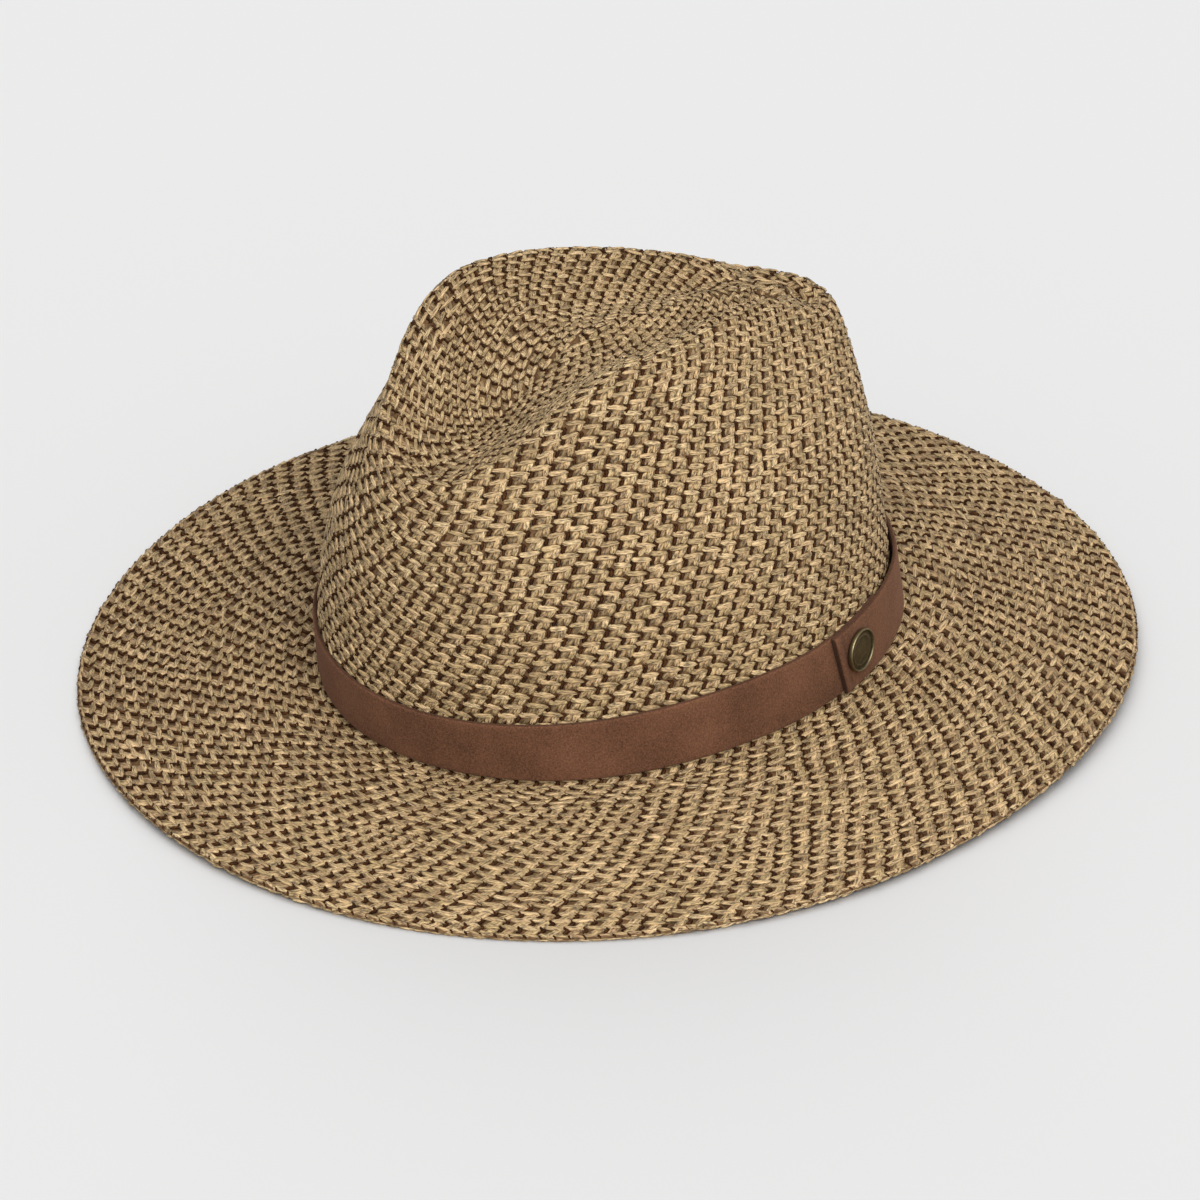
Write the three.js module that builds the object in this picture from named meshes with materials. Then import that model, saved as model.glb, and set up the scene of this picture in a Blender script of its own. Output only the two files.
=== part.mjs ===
// Outback hat: a wide straw hat with a creased crown, a suede band and a round stud that holds the band.
// Millimetres, +Z up, front towards -Y, the wearer's left towards +X, resting on its brim at z = 0.
import * as THREE from "three";

// Thickness of the straw wall, and the gap left between separate pieces.
const WALL = 2.4;
const GAP = 0.3;
// The lowest stretches of the brim edge lie flat on the surface below by this much of their thickness.
const PRESSED_FLAT = 0.5;
// Facets round the hat.
const SEGMENTS = 64;
const STEP = (2 * Math.PI) / SEGMENTS;
const DEGREE = Math.PI / 180;

// Sections of the straw's middle surface, from the brim edge up the crown and over its ridge to the dent.
// half is the half width, front and back the reach along Y, widest the place along Y of the half width.
// side_z, front_z and back_z are heights. pinch draws the corners in and lift raises them,
// for the two front corners and the two back corners.
const COLUMNS = [
  "half", "front", "back", "widest", "side_z", "front_z", "back_z",
  "front_pinch", "back_pinch", "front_lift", "back_lift",
];
const SECTIONS = {
  brim_edge: [171.5, 190.5, 190.5, -9, 3, 3, 1.2, 0.005, -0.028, -1.8, 2.8],
  brim_outer: [148, 168.5, 170, -5, 4.4, 4.2, 3.6, 0.003, -0.015, -1.2, 1.5],
  brim_inner: [126, 146.5, 148.5, -2, 5.8, 5, 6, 0, -0.005, -0.4, 0.4],
  brim_break: [105.5, 125.5, 127, -1, 7.4, 5.4, 8.9, -0.008, 0, 0, 0],
  crown_foot: [87.5, 104.5, 104.5, -1, 9.3, 5.2, 12.2, -0.02, 0, -0.4, 0.4],
  band_top: [86, 107, 100, -1, 33.8, 27.5, 36, -0.018, 0, -0.8, 1.2],
  crown_side: [77.5, 102, 96, -9, 79, 66, 78, 0.03, 0.01, 0, 0],
  shoulder: [57, 89, 90, -21, 118, 98, 112, 0.12, 0.07, 0.5, -4],
  ridge: [45, 80.5, 80, -23, 139, 99, 111, 0, 0.33, -1, 3],
  dent_wall: [19, 70, 73, -13, 126, 103.5, 119, 0.03, 0.2, -4, -1],
  dent_floor: [0, 57, 63, -3, 128, 106, 121, 0, 0, -6, 0],
};
const ROWS = Object.values(SECTIONS);
const FOOT_ROW = Object.keys(SECTIONS).indexOf("crown_foot");
const BAND_TOP_ROW = Object.keys(SECTIONS).indexOf("band_top");
const LAST_ROW = ROWS.length - 1;

// Where rings of facets are laid, counted in sections: closer together where the straw bends more.
const RINGS = [
  0, 0.15, 0.5, 1, 1.5, 2, 2.5, 3, 3.35, 3.7, 4, 4.3, 4.65, 5, 5.35, 5.7, 6,
  6.35, 6.7, 7, 7.3, 7.6, 7.85, 8.1, 8.4, 8.7, 9, 9.35, 9.7, 10,
];

// Band: thickness, lower and upper edge as shares of the height from crown foot to band top.
const BAND_THICK = 1.5;
const BAND_CLEAR = WALL / 2 + GAP + 0.1;
const BAND_LOW = 0.05;
const BAND_HIGH = 1;
const BAND_CORNER = 0.35;
// The under end stops beneath the outer layer, and the outer end is folded under along a slanted line.
const UNDER_END = 22 * STEP;
const FOLD_LOW = 108.3 * DEGREE;
const FOLD_HIGH = 105.2 * DEGREE;
const FOLD_THICKER = 0.7;
const FOLD_WIDTH = 1.6 * DEGREE;
const CLIMB_START = 28 * STEP;
const CLIMB_END = 24 * STEP;
const OUTER_HIGHER = 0.03;

// Stud: a flat-backed disc with a thin raised rim round a slightly domed face.
const STUD_TURN = 112.85 * DEGREE;
const STUD_UP = 0.6;
const STUD_RADIUS = 7.7;
const STUD_EDGE = 0.4;
const STUD_THICK = 1.8;
const STUD_RIM = 0.7;
const STUD_FACE = 1.2;
const STUD_DOME = 0.25;
const STUD_FACETS = 32;

// A smooth curve through p1 and p2, with the slopes that their neighbours give.
function smooth(p0, p1, p2, p3, t) {
  const bend = 2 * p0 - 5 * p1 + 4 * p2 - p3;
  const turn = 3 * p1 - p0 - 3 * p2 + p3;
  return 0.5 * (2 * p1 + (p2 - p0) * t + bend * t * t + turn * t * t * t);
}

// The named sizes of the section at v, where v counts sections from the brim edge.
function sectionAt(v) {
  const i = Math.min(Math.floor(v), LAST_ROW - 1);
  const size = {};
  COLUMNS.forEach((name, c) => {
    const p1 = ROWS[i][c];
    const p2 = ROWS[i + 1][c];
    const p0 = i > 0 ? ROWS[i - 1][c] : 2 * p1 - p2;
    const p3 = i + 2 <= LAST_ROW ? ROWS[i + 2][c] : 2 * p2 - p1;
    size[name] = smooth(p0, p1, p2, p3, v - i);
  });
  return size;
}

// A point of the straw's middle surface. turn is 0 at the front and grows towards the wearer's left.
function middle(v, turn) {
  const size = sectionAt(v);
  const sine = Math.sin(turn);
  const cosine = Math.cos(turn);
  const atFront = cosine > 0;
  const corner = Math.sin(2 * turn) ** 2;
  const pinch = atFront ? size.front_pinch : size.back_pinch;
  const lift = atFront ? size.front_lift : size.back_lift;
  const reach = atFront ? size.front + size.widest : size.back - size.widest;
  const endZ = atFront ? size.front_z : size.back_z;
  return new THREE.Vector3(
    size.half * sine * (1 - pinch * corner),
    size.widest - reach * cosine,
    size.side_z + (endZ - size.side_z) * cosine * cosine + lift * corner - PRESSED_FLAT,
  );
}

// The outward direction of the straw at a point, square to the surface.
function outwardAt(v, turn) {
  const near = 0.02;
  const inner = Math.min(v, LAST_ROW - near);
  const along = middle(inner, turn + near).sub(middle(inner, turn - near));
  const up = middle(Math.min(inner + near, LAST_ROW), turn).sub(middle(Math.max(inner - near, 0), turn));
  return along.cross(up).normalize();
}

// The level outward direction, square to the outline of the hat seen from above.
function levelAt(v, turn) {
  const near = 0.02;
  const along = middle(v, turn + near).sub(middle(v, turn - near));
  return new THREE.Vector3(along.y, -along.x, 0).normalize();
}

// Collects corners and faces, and makes one closed mesh of them.
class Shell {
  constructor() {
    this.places = [];
    this.faces = [];
  }
  corner(p) {
    this.places.push(p.x, p.y, p.z);
    return this.places.length / 3 - 1;
  }
  triangle(a, b, c) {
    if (a !== b && b !== c && a !== c) this.faces.push(a, b, c);
  }
  quad(a, b, c, d, flip = false) {
    if (flip) {
      this.triangle(a, b, d);
      this.triangle(b, c, d);
    } else {
      this.triangle(a, b, c);
      this.triangle(a, c, d);
    }
  }
  mesh(name, colour, roughness, metalness) {
    const geometry = new THREE.BufferGeometry();
    geometry.setAttribute("position", new THREE.Float32BufferAttribute(this.places, 3));
    geometry.setIndex(this.faces);
    geometry.computeVertexNormals();
    const material = new THREE.MeshStandardMaterial({ color: colour, roughness, metalness });
    const made = new THREE.Mesh(geometry, material);
    made.name = name;
    return made;
  }
}

// One ring of corners of the straw. offset is the distance from the middle surface along its normal.
// On the last row the two sides of the hat meet in one line of shared corners along the dent.
function strawRing(shell, v, offset) {
  const ring = [];
  for (let i = 0; i < SEGMENTS; i++) {
    const shared = v === LAST_ROW && i > SEGMENTS / 2;
    if (shared) {
      ring.push(ring[SEGMENTS - i]);
      continue;
    }
    const turn = i * STEP;
    const out = outwardAt(v, turn);
    if (v === LAST_ROW) out.add(outwardAt(v, -turn)).normalize();
    const p = middle(v, turn).addScaledVector(out, offset);
    p.z = Math.max(p.z, 0);
    ring.push(shell.corner(p));
  }
  return ring;
}

// Faces between two rings, mirrored about the middle plane of the hat.
function joinRings(shell, lower, upper, inward) {
  for (let i = 0; i < SEGMENTS; i++) {
    const j = (i + 1) % SEGMENTS;
    const flip = i >= SEGMENTS / 2;
    if (inward) shell.quad(lower[j], lower[i], upper[i], upper[j], !flip);
    else shell.quad(lower[i], lower[j], upper[j], upper[i], flip);
  }
}

// Crown and brim, woven in one: an outer skin, an inner skin and a rounded edge round the brim.
function strawBody() {
  const shell = new Shell();
  const outer = RINGS.map((v) => strawRing(shell, v, WALL / 2));
  const inner = RINGS.map((v) => strawRing(shell, v, -WALL / 2));
  const edge = [];
  for (let i = 0; i < SEGMENTS; i++) {
    const p = middle(0, i * STEP).addScaledVector(levelAt(0, i * STEP), WALL / 2);
    edge.push(shell.corner(p));
  }
  for (let r = 0; r + 1 < RINGS.length; r++) {
    joinRings(shell, outer[r], outer[r + 1], false);
    joinRings(shell, inner[r], inner[r + 1], true);
  }
  joinRings(shell, inner[0], edge, false);
  joinRings(shell, edge, outer[0], false);
  return shell.mesh("straw_body", 0x9b7e5d, 0.85, 0);
}

// A point of the band: up is the share of the height, out the distance from the straw's middle surface.
function bandPoint(turn, up, out) {
  const low = middle(FOOT_ROW, turn).addScaledVector(levelAt(FOOT_ROW, turn), out);
  const high = middle(BAND_TOP_ROW, turn).addScaledVector(levelAt(BAND_TOP_ROW, turn), out);
  return low.lerp(high, up);
}

// How far the band's inner face is from the straw's middle surface. gone is the turn from the under end.
function bandOut(gone) {
  const climb = (gone - (2 * Math.PI - (CLIMB_START - UNDER_END))) / (CLIMB_START - CLIMB_END);
  const eased = THREE.MathUtils.smoothstep(climb, 0, 1);
  return BAND_CLEAR + eased * (BAND_THICK + GAP);
}

// The six corners of the band's cross-section, with its outer edges rounded off.
function bandSection(shell, turnLow, turnHigh, gone, thicker) {
  const onTop = gone > Math.PI ? 1 : 0;
  const out = bandOut(gone);
  const thick = BAND_THICK + thicker;
  const high = BAND_HIGH + onTop * OUTER_HIGHER * THREE.MathUtils.smoothstep(out, BAND_CLEAR, BAND_CLEAR + 1);
  const bevel = 0.02;
  const around = [
    [BAND_LOW, out],
    [BAND_LOW, out + thick - BAND_CORNER],
    [BAND_LOW + bevel, out + thick],
    [high - bevel, out + thick],
    [high, out + thick - BAND_CORNER],
    [high, out],
  ];
  return around.map(([up, off]) => {
    const turn = turnLow + (turnHigh - turnLow) * up;
    return shell.corner(bandPoint(turn, up, off));
  });
}

// One strip of suede round the foot of the crown, its outer end folded and laid over its under end.
function hatBand() {
  const shell = new Shell();
  const sections = [bandSection(shell, UNDER_END, UNDER_END, 0, 0)];
  const whole = 2 * Math.PI + UNDER_END;
  const lastWhole = FOLD_LOW + FOLD_WIDTH;
  for (let turn = UNDER_END - STEP; turn > lastWhole - 2 * Math.PI; turn -= STEP) {
    sections.push(bandSection(shell, turn, turn, UNDER_END - turn, 0));
  }
  const lean = FOLD_HIGH - FOLD_LOW;
  const ends = [
    [FOLD_WIDTH, 0],
    [FOLD_WIDTH * 0.75, FOLD_THICKER],
    [FOLD_WIDTH * 0.15, FOLD_THICKER],
    [0, 0],
  ];
  for (const [before, thicker] of ends) {
    const turn = FOLD_LOW + before;
    sections.push(bandSection(shell, turn, turn + lean, whole - turn, thicker));
  }
  for (let s = 0; s + 1 < sections.length; s++) {
    const from = sections[s];
    const to = sections[s + 1];
    from.forEach((corner, k) => {
      const next = (k + 1) % from.length;
      shell.quad(corner, from[next], to[next], to[k]);
    });
  }
  const first = sections[0];
  const last = sections[sections.length - 1];
  for (let k = 1; k + 1 < first.length; k++) {
    shell.triangle(first[0], first[k + 1], first[k]);
    shell.triangle(last[0], last[k], last[k + 1]);
  }
  return shell.mesh("hat_band", 0x5d3d2c, 0.95, 0);
}

// The stud: its back stands a small gap off the outer layer of the band.
function stud() {
  const profile = [
    [STUD_RADIUS - STUD_EDGE, 0],
    [STUD_RADIUS, STUD_EDGE],
    [STUD_RADIUS, STUD_THICK - STUD_EDGE],
    [STUD_RADIUS - STUD_EDGE, STUD_THICK],
    [STUD_RADIUS - STUD_RIM, STUD_THICK],
    [STUD_RADIUS - STUD_RIM - STUD_EDGE, STUD_FACE],
    [STUD_RADIUS / 2, STUD_FACE + STUD_DOME * 0.75],
  ];
  const bandFace = BAND_CLEAR + 2 * BAND_THICK + GAP;
  const foot = bandPoint(STUD_TURN, STUD_UP, bandFace);
  const near = 0.02;
  const upward = bandPoint(STUD_TURN, STUD_UP + near, bandFace).sub(foot).normalize();
  const sideways = bandPoint(STUD_TURN + near, STUD_UP, bandFace).sub(bandPoint(STUD_TURN - near, STUD_UP, bandFace));
  const outward = sideways.clone().cross(upward).normalize();
  const across = upward.clone().cross(outward).normalize();
  const shell = new Shell();
  const place = (radius, height, turn) =>
    shell.corner(
      foot
        .clone()
        .addScaledVector(outward, GAP + height)
        .addScaledVector(across, radius * Math.cos(turn))
        .addScaledVector(upward, radius * Math.sin(turn)),
    );
  const back = place(0, 0, 0);
  const face = place(0, STUD_FACE + STUD_DOME, 0);
  const rings = profile.map(([radius, height]) => {
    const ring = [];
    for (let i = 0; i < STUD_FACETS; i++) ring.push(place(radius, height, (i * 2 * Math.PI) / STUD_FACETS));
    return ring;
  });
  for (let i = 0; i < STUD_FACETS; i++) {
    const j = (i + 1) % STUD_FACETS;
    shell.triangle(back, rings[0][j], rings[0][i]);
    for (let r = 0; r + 1 < rings.length; r++) {
      shell.quad(rings[r][i], rings[r][j], rings[r + 1][j], rings[r + 1][i]);
    }
    shell.triangle(face, rings[rings.length - 1][i], rings[rings.length - 1][j]);
  }
  return shell.mesh("button", 0x695f46, 0.4, 0.9);
}

const hat = new THREE.Group();
hat.name = "outback_hat";
hat.add(strawBody(), hatBand(), stud());
export default hat;
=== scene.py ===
# An outback hat of two-tone straw with a suede band, resting on its brim on a pale floor.
import math

import bpy
import numpy as np
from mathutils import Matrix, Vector


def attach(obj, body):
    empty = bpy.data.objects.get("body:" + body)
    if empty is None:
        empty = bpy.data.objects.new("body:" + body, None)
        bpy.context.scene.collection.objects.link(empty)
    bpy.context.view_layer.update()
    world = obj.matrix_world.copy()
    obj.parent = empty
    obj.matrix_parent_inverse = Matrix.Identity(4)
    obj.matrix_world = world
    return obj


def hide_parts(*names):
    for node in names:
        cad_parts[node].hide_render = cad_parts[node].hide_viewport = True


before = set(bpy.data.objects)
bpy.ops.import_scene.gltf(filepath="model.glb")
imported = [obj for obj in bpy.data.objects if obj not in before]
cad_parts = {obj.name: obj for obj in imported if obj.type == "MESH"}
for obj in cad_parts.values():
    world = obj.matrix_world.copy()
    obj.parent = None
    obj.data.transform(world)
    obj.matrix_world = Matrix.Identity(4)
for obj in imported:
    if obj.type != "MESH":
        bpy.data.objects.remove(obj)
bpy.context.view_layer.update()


# Camera: a long lens well back, off the wearer's left front, looking down on the brim.
# The aim is the middle of the crown's foot; the shifts put the hat where it stands in the frame.
camera_azimuth = math.radians(52.0)
camera_elevation = math.radians(30.56)
camera_distance = 1.9158
camera_aim = Vector((0.0, -0.001, 0.0495))
camera_data = bpy.data.cameras.new("camera")
camera_data.sensor_width = 36.0
camera_data.lens = 166.57
camera_data.shift_x = -0.00825
camera_data.shift_y = -0.0631
camera_data.clip_end = 50.0
camera = bpy.data.objects.new("camera", camera_data)
camera_offset = Vector(
    (
        math.sin(camera_azimuth) * math.cos(camera_elevation),
        -math.cos(camera_azimuth) * math.cos(camera_elevation),
        math.sin(camera_elevation),
    )
)
camera.location = camera_aim + camera_offset * camera_distance
camera.rotation_euler = (-camera_offset).to_track_quat("-Z", "Y").to_euler()
bpy.context.scene.collection.objects.link(camera)
bpy.context.scene.camera = camera


# Floor: a wide pale sheet of matt board that everything stands on. It lies a hair below the brim's lowest
# places, so that the two surfaces never share one plane.
floor_half = 25.0
floor_height = -0.0001
floor_mesh = bpy.data.meshes.new("floor")
floor_mesh.from_pydata(
    [
        (-floor_half, -floor_half, floor_height),
        (floor_half, -floor_half, floor_height),
        (floor_half, floor_half, floor_height),
        (-floor_half, floor_half, floor_height),
    ],
    [],
    [(0, 1, 2, 3)],
)
floor = bpy.data.objects.new("floor", floor_mesh)
bpy.context.scene.collection.objects.link(floor)
floor_board = bpy.data.materials.new("floor_board")
floor_board.use_nodes = True
floor_bsdf = floor_board.node_tree.nodes["Principled BSDF"]
floor_bsdf.inputs["Base Color"].default_value = (0.95, 0.95, 0.95, 1.0)
floor_bsdf.inputs["Roughness"].default_value = 0.9
floor_bsdf.inputs["Specular IOR Level"].default_value = 0.1
floor_mesh.materials.append(floor_board)


# Light: an even pale room, a broad soft source high on the right of the frame and a soft box close to
# the hat on the camera's side. Both light only the hat, so that the floor keeps one even tone, and a
# weak soft source from behind gives the floor its faint shadow along the near edge of the brim.
bpy.context.scene.view_settings.view_transform = "Standard"
room = bpy.data.worlds.new("room")
bpy.context.scene.world = room
room.use_nodes = True
room_light = room.node_tree.nodes["Background"]
room_light.inputs["Color"].default_value = (1.0, 1.0, 1.0, 1.0)
room_light.inputs["Strength"].default_value = 0.62
lit_pieces = bpy.data.collections.new("lit_pieces")
lit_floor = bpy.data.collections.new("lit_floor")
lit_floor.objects.link(floor)


def direction_to(azimuth, elevation):
    """The direction from the hat to something at that azimuth and elevation, in degrees."""
    turn, rise = math.radians(azimuth), math.radians(elevation)
    return Vector((math.sin(turn) * math.cos(rise), -math.cos(turn) * math.cos(rise), math.sin(rise)))


def hang_light(name, kind, azimuth, elevation, distance, power, lights_only):
    """A light aimed at the hat."""
    data = bpy.data.lights.new(name, kind)
    data.energy = power
    light = bpy.data.objects.new(name, data)
    toward = direction_to(azimuth, elevation)
    light.location = toward * distance
    light.rotation_euler = (-toward).to_track_quat("-Z", "Y").to_euler()
    bpy.context.scene.collection.objects.link(light)
    light.light_linking.receiver_collection = lights_only
    return data


broad_light = hang_light("broad_light", "SUN", 72.0, 48.0, 3.0, 0.95, lit_pieces)
broad_light.angle = math.radians(50.0)
close_box = hang_light("close_box", "AREA", 60.0, 42.0, 1.0, 6.5, lit_pieces)
close_box.shape = "SQUARE"
close_box.size = 0.6
back_light = hang_light("back_light", "SUN", 232.0, 42.0, 3.0, 1.2, lit_floor)
back_light.angle = math.radians(60.0)


# Straw ground: the dark, tightly packed inside of the weave, which shows between the stitches.
# Crown and brim are worked in one piece and blocked to shape, so one thin wall runs from the brim edge
# up the crown, over its ridge and down into the dent.
MM = 0.001
pressed_flat = 0.5
hat_columns = (
    "half", "front", "back", "widest", "side_z", "front_z", "back_z",
    "front_pinch", "back_pinch", "front_lift", "back_lift",
)
hat_sections = {
    "brim_edge": (171.5, 190.5, 190.5, -9, 3, 3, 1.2, 0.005, -0.028, -1.8, 2.8),
    "brim_outer": (148, 168.5, 170, -5, 4.4, 4.2, 3.6, 0.003, -0.015, -1.2, 1.5),
    "brim_inner": (126, 146.5, 148.5, -2, 5.8, 5, 6, 0, -0.005, -0.4, 0.4),
    "brim_break": (105.5, 125.5, 127, -1, 7.4, 5.4, 8.9, -0.008, 0, 0, 0),
    "crown_foot": (87.5, 104.5, 104.5, -1, 9.3, 5.2, 12.2, -0.02, 0, -0.4, 0.4),
    "band_top": (86, 107, 100, -1, 33.8, 27.5, 36, -0.018, 0, -0.8, 1.2),
    "crown_side": (77.5, 102, 96, -9, 79, 66, 78, 0.03, 0.01, 0, 0),
    "shoulder": (57, 89, 90, -21, 118, 98, 112, 0.12, 0.07, 0.5, -4),
    "ridge": (45, 80.5, 80, -23, 139, 99, 111, 0, 0.33, -1, 3),
    "dent_wall": (19, 70, 73, -13, 126, 103.5, 119, 0.03, 0.2, -4, -1),
    "dent_floor": (0, 57, 63, -3, 128, 106, 121, 0, 0, -6, 0),
}
hat_rows = np.array(list(hat_sections.values()))
foot_row = list(hat_sections).index("crown_foot")
band_top_row = list(hat_sections).index("band_top")
last_row = len(hat_rows) - 1


def sizes_at(v):
    """The named sizes of the section at v, which counts sections from the brim edge."""
    before = 2 * hat_rows[0] - hat_rows[1]
    after = 2 * hat_rows[-1] - hat_rows[-2]
    rows = np.vstack([before, hat_rows, after])
    i = np.clip(np.floor(v).astype(int), 0, last_row - 1)
    t = (v - i)[..., None]
    p0, p1, p2, p3 = rows[i], rows[i + 1], rows[i + 2], rows[i + 3]
    bend = 2 * p0 - 5 * p1 + 4 * p2 - p3
    turn = 3 * p1 - p0 - 3 * p2 + p3
    size = 0.5 * (2 * p1 + (p2 - p0) * t + bend * t**2 + turn * t**3)
    return {name: size[..., k] for k, name in enumerate(hat_columns)}


def straw_middle(v, turn):
    """Points of the wall's middle in millimetres. turn is 0 in front and grows to the wearer's left."""
    v, turn = np.broadcast_arrays(np.asarray(v, float), np.asarray(turn, float))
    size = sizes_at(v)
    sine, cosine = np.sin(turn), np.cos(turn)
    in_front = cosine > 0
    corner = np.sin(2 * turn) ** 2
    pinch = np.where(in_front, size["front_pinch"], size["back_pinch"])
    lift = np.where(in_front, size["front_lift"], size["back_lift"])
    reach = np.where(in_front, size["front"] + size["widest"], size["back"] - size["widest"])
    end_z = np.where(in_front, size["front_z"], size["back_z"])
    x = size["half"] * sine * (1 - pinch * corner)
    y = size["widest"] - reach * cosine
    z = size["side_z"] + (end_z - size["side_z"]) * cosine**2 + lift * corner - pressed_flat
    return np.stack([x, y, z], axis=-1)


def straw_outward(v, turn):
    """The outward direction, square to the wall."""
    near = 0.02
    v = np.clip(np.asarray(v, float), near, last_row - near)
    along = straw_middle(v, turn + near) - straw_middle(v, turn - near)
    up = straw_middle(v + near, turn) - straw_middle(v - near, turn)
    out = np.cross(along, up)
    return out / np.linalg.norm(out, axis=-1, keepdims=True)


def skin_at(v, turn, offset):
    """Points at a distance from the wall's middle. Along the middle line of the dent both sides of the hat
    share one direction."""
    out = straw_outward(v, turn)
    shared = out + straw_outward(v, -np.asarray(turn))
    shared = shared / np.linalg.norm(shared, axis=-1, keepdims=True)
    out = np.where((np.asarray(v) >= last_row)[..., None], shared, out)
    points = straw_middle(v, turn) + out * offset
    points[..., 2] = np.maximum(points[..., 2], 0)
    return points


def plain_object(name, points, faces, smooth=True):
    """A mesh object at the origin. Points are in millimetres."""
    mesh = bpy.data.meshes.new(name)
    mesh.from_pydata([tuple(p) for p in np.asarray(points) * MM], [], [tuple(f) for f in faces])
    mesh.validate()
    if smooth:
        mesh.polygons.foreach_set("use_smooth", [True] * len(mesh.polygons))
    made = bpy.data.objects.new(name, mesh)
    bpy.context.scene.collection.objects.link(made)
    lit_pieces.objects.link(made)
    return made


ground_half_thick = 0.45
ground_segments = 192
# rings of corners, counted in sections: over the brim, up the crown's side, and over the ridge to the dent
brim_rings = np.linspace(0, 3, 19)
side_rings = np.linspace(3.2, 6, 21)
dent_rings = np.linspace(6.15, last_row, 44)
ground_rings = np.concatenate([brim_rings, side_rings, dent_rings])
ground_turns = np.arange(ground_segments) * 2 * np.pi / ground_segments
ground_points = []
ground_faces = []
for side in (1, -1):
    grid = skin_at(ground_rings[:, None], ground_turns[None, :], side * ground_half_thick)
    ground_points.append(grid.reshape(-1, 3))
edge_line = straw_middle(0.0, ground_turns)
edge_out = edge_line * (1, 1, 0)
edge_out = edge_out / np.linalg.norm(edge_out, axis=-1, keepdims=True)
ground_points.append(edge_line + edge_out * ground_half_thick)
ring_count = len(ground_rings)
skin_count = ring_count * ground_segments


def ground_corner(side, ring, k):
    """Number of a corner. On the last ring the two sides of the hat share one line of corners."""
    k = k % ground_segments
    if ring == ring_count - 1 and k > ground_segments // 2:
        k = ground_segments - k
    return side * skin_count + ring * ground_segments + k


for k in range(ground_segments):
    for ring in range(ring_count - 1):
        outer_quad = [
            ground_corner(0, ring, k),
            ground_corner(0, ring, k + 1),
            ground_corner(0, ring + 1, k + 1),
            ground_corner(0, ring + 1, k),
        ]
        inner_quad = [
            ground_corner(1, ring, k + 1),
            ground_corner(1, ring, k),
            ground_corner(1, ring + 1, k),
            ground_corner(1, ring + 1, k + 1),
        ]
        for quad in (outer_quad, inner_quad):
            ground_faces.append(list(dict.fromkeys(quad)))
    edge_here = 2 * skin_count + k
    edge_next = 2 * skin_count + (k + 1) % ground_segments
    ground_faces.append([ground_corner(1, 0, k), ground_corner(1, 0, k + 1), edge_next, edge_here])
    ground_faces.append([edge_here, edge_next, ground_corner(0, 0, k + 1), ground_corner(0, 0, k)])
ground_faces = [f for f in ground_faces if len(f) > 2]
straw_ground = plain_object("straw_ground", np.concatenate(ground_points), ground_faces)

dark_straw = bpy.data.materials.new("dark_straw_ground")
dark_straw.use_nodes = True
nodes = dark_straw.node_tree.nodes
links = dark_straw.node_tree.links
bsdf = nodes["Principled BSDF"]
bsdf.inputs["Roughness"].default_value = 0.85
bsdf.inputs["Specular IOR Level"].default_value = 0.2
place = nodes.new("ShaderNodeTexCoord")
speckle = nodes.new("ShaderNodeTexNoise")
speckle.inputs["Scale"].default_value = 420.0
speckle.inputs["Detail"].default_value = 4.0
tone = nodes.new("ShaderNodeValToRGB")
tone.color_ramp.elements[0].position = 0.3
tone.color_ramp.elements[0].color = (0.048, 0.022, 0.009, 1.0)
tone.color_ramp.elements[1].position = 0.75
tone.color_ramp.elements[1].color = (0.19, 0.105, 0.045, 1.0)
pits = nodes.new("ShaderNodeBump")
pits.inputs["Strength"].default_value = 0.6
pits.inputs["Distance"].default_value = 0.0004
links.new(place.outputs["Object"], speckle.inputs["Vector"])
links.new(speckle.outputs["Fac"], tone.inputs["Fac"])
links.new(tone.outputs["Color"], bsdf.inputs["Base Color"])
links.new(speckle.outputs["Fac"], pits.inputs["Height"])
links.new(pits.outputs["Normal"], bsdf.inputs["Normal"])
straw_ground.data.materials.append(dark_straw)
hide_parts("straw_body")
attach(straw_ground, "root")


# Straw courses: the hat is worked round and round from the middle of the crown to the brim edge.
# Each round is a chain of V stitches of pale straw with a dark strand tucked between them, and each
# round sits half a stitch along from the one before. Rounds keep one height, measured along the wall.
crown_round_height = 4.15
brim_rounds = 23
crown_pitch = 7.1
brim_pitch = 7.6
# the stitches of the rounds in the dent are small, and widen over the rounds on the crest
centre_pitch = 4.5
centre_rounds = 10
widening_rounds = 4
# how far below the dent's middle line the first round lies, as a share of its height
first_round = 0.62
# where a stitch sits between two of the round before
step_along = 0.64
# the edge stitches: how far apart, how much they lean up, and how much of a round they take up
rim_pitch = 4.8
rim_tilt = 0.4
rim_share = 0.35
# the gaps along a round are evened out in a few passes, each by this share of the difference
evening_passes = 3
evening = 0.4
# the straw is packed closer at the front and back of the crown than at its sides, and on the crest
packed_closer = 0.1
crest_closer = 0.3
crest_level = 8.1
crest_width = 0.75
# at the back the crest is packed less close, by this share
back_looser = 0.8
# the least that a stitch covers of the wall, as a share of its round's height
least_cover = 0.55
# how far a stitch strays from its even place, along its round as a share of the pitch and across it
stray_along = 0.04
stray_across = 0.1

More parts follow.
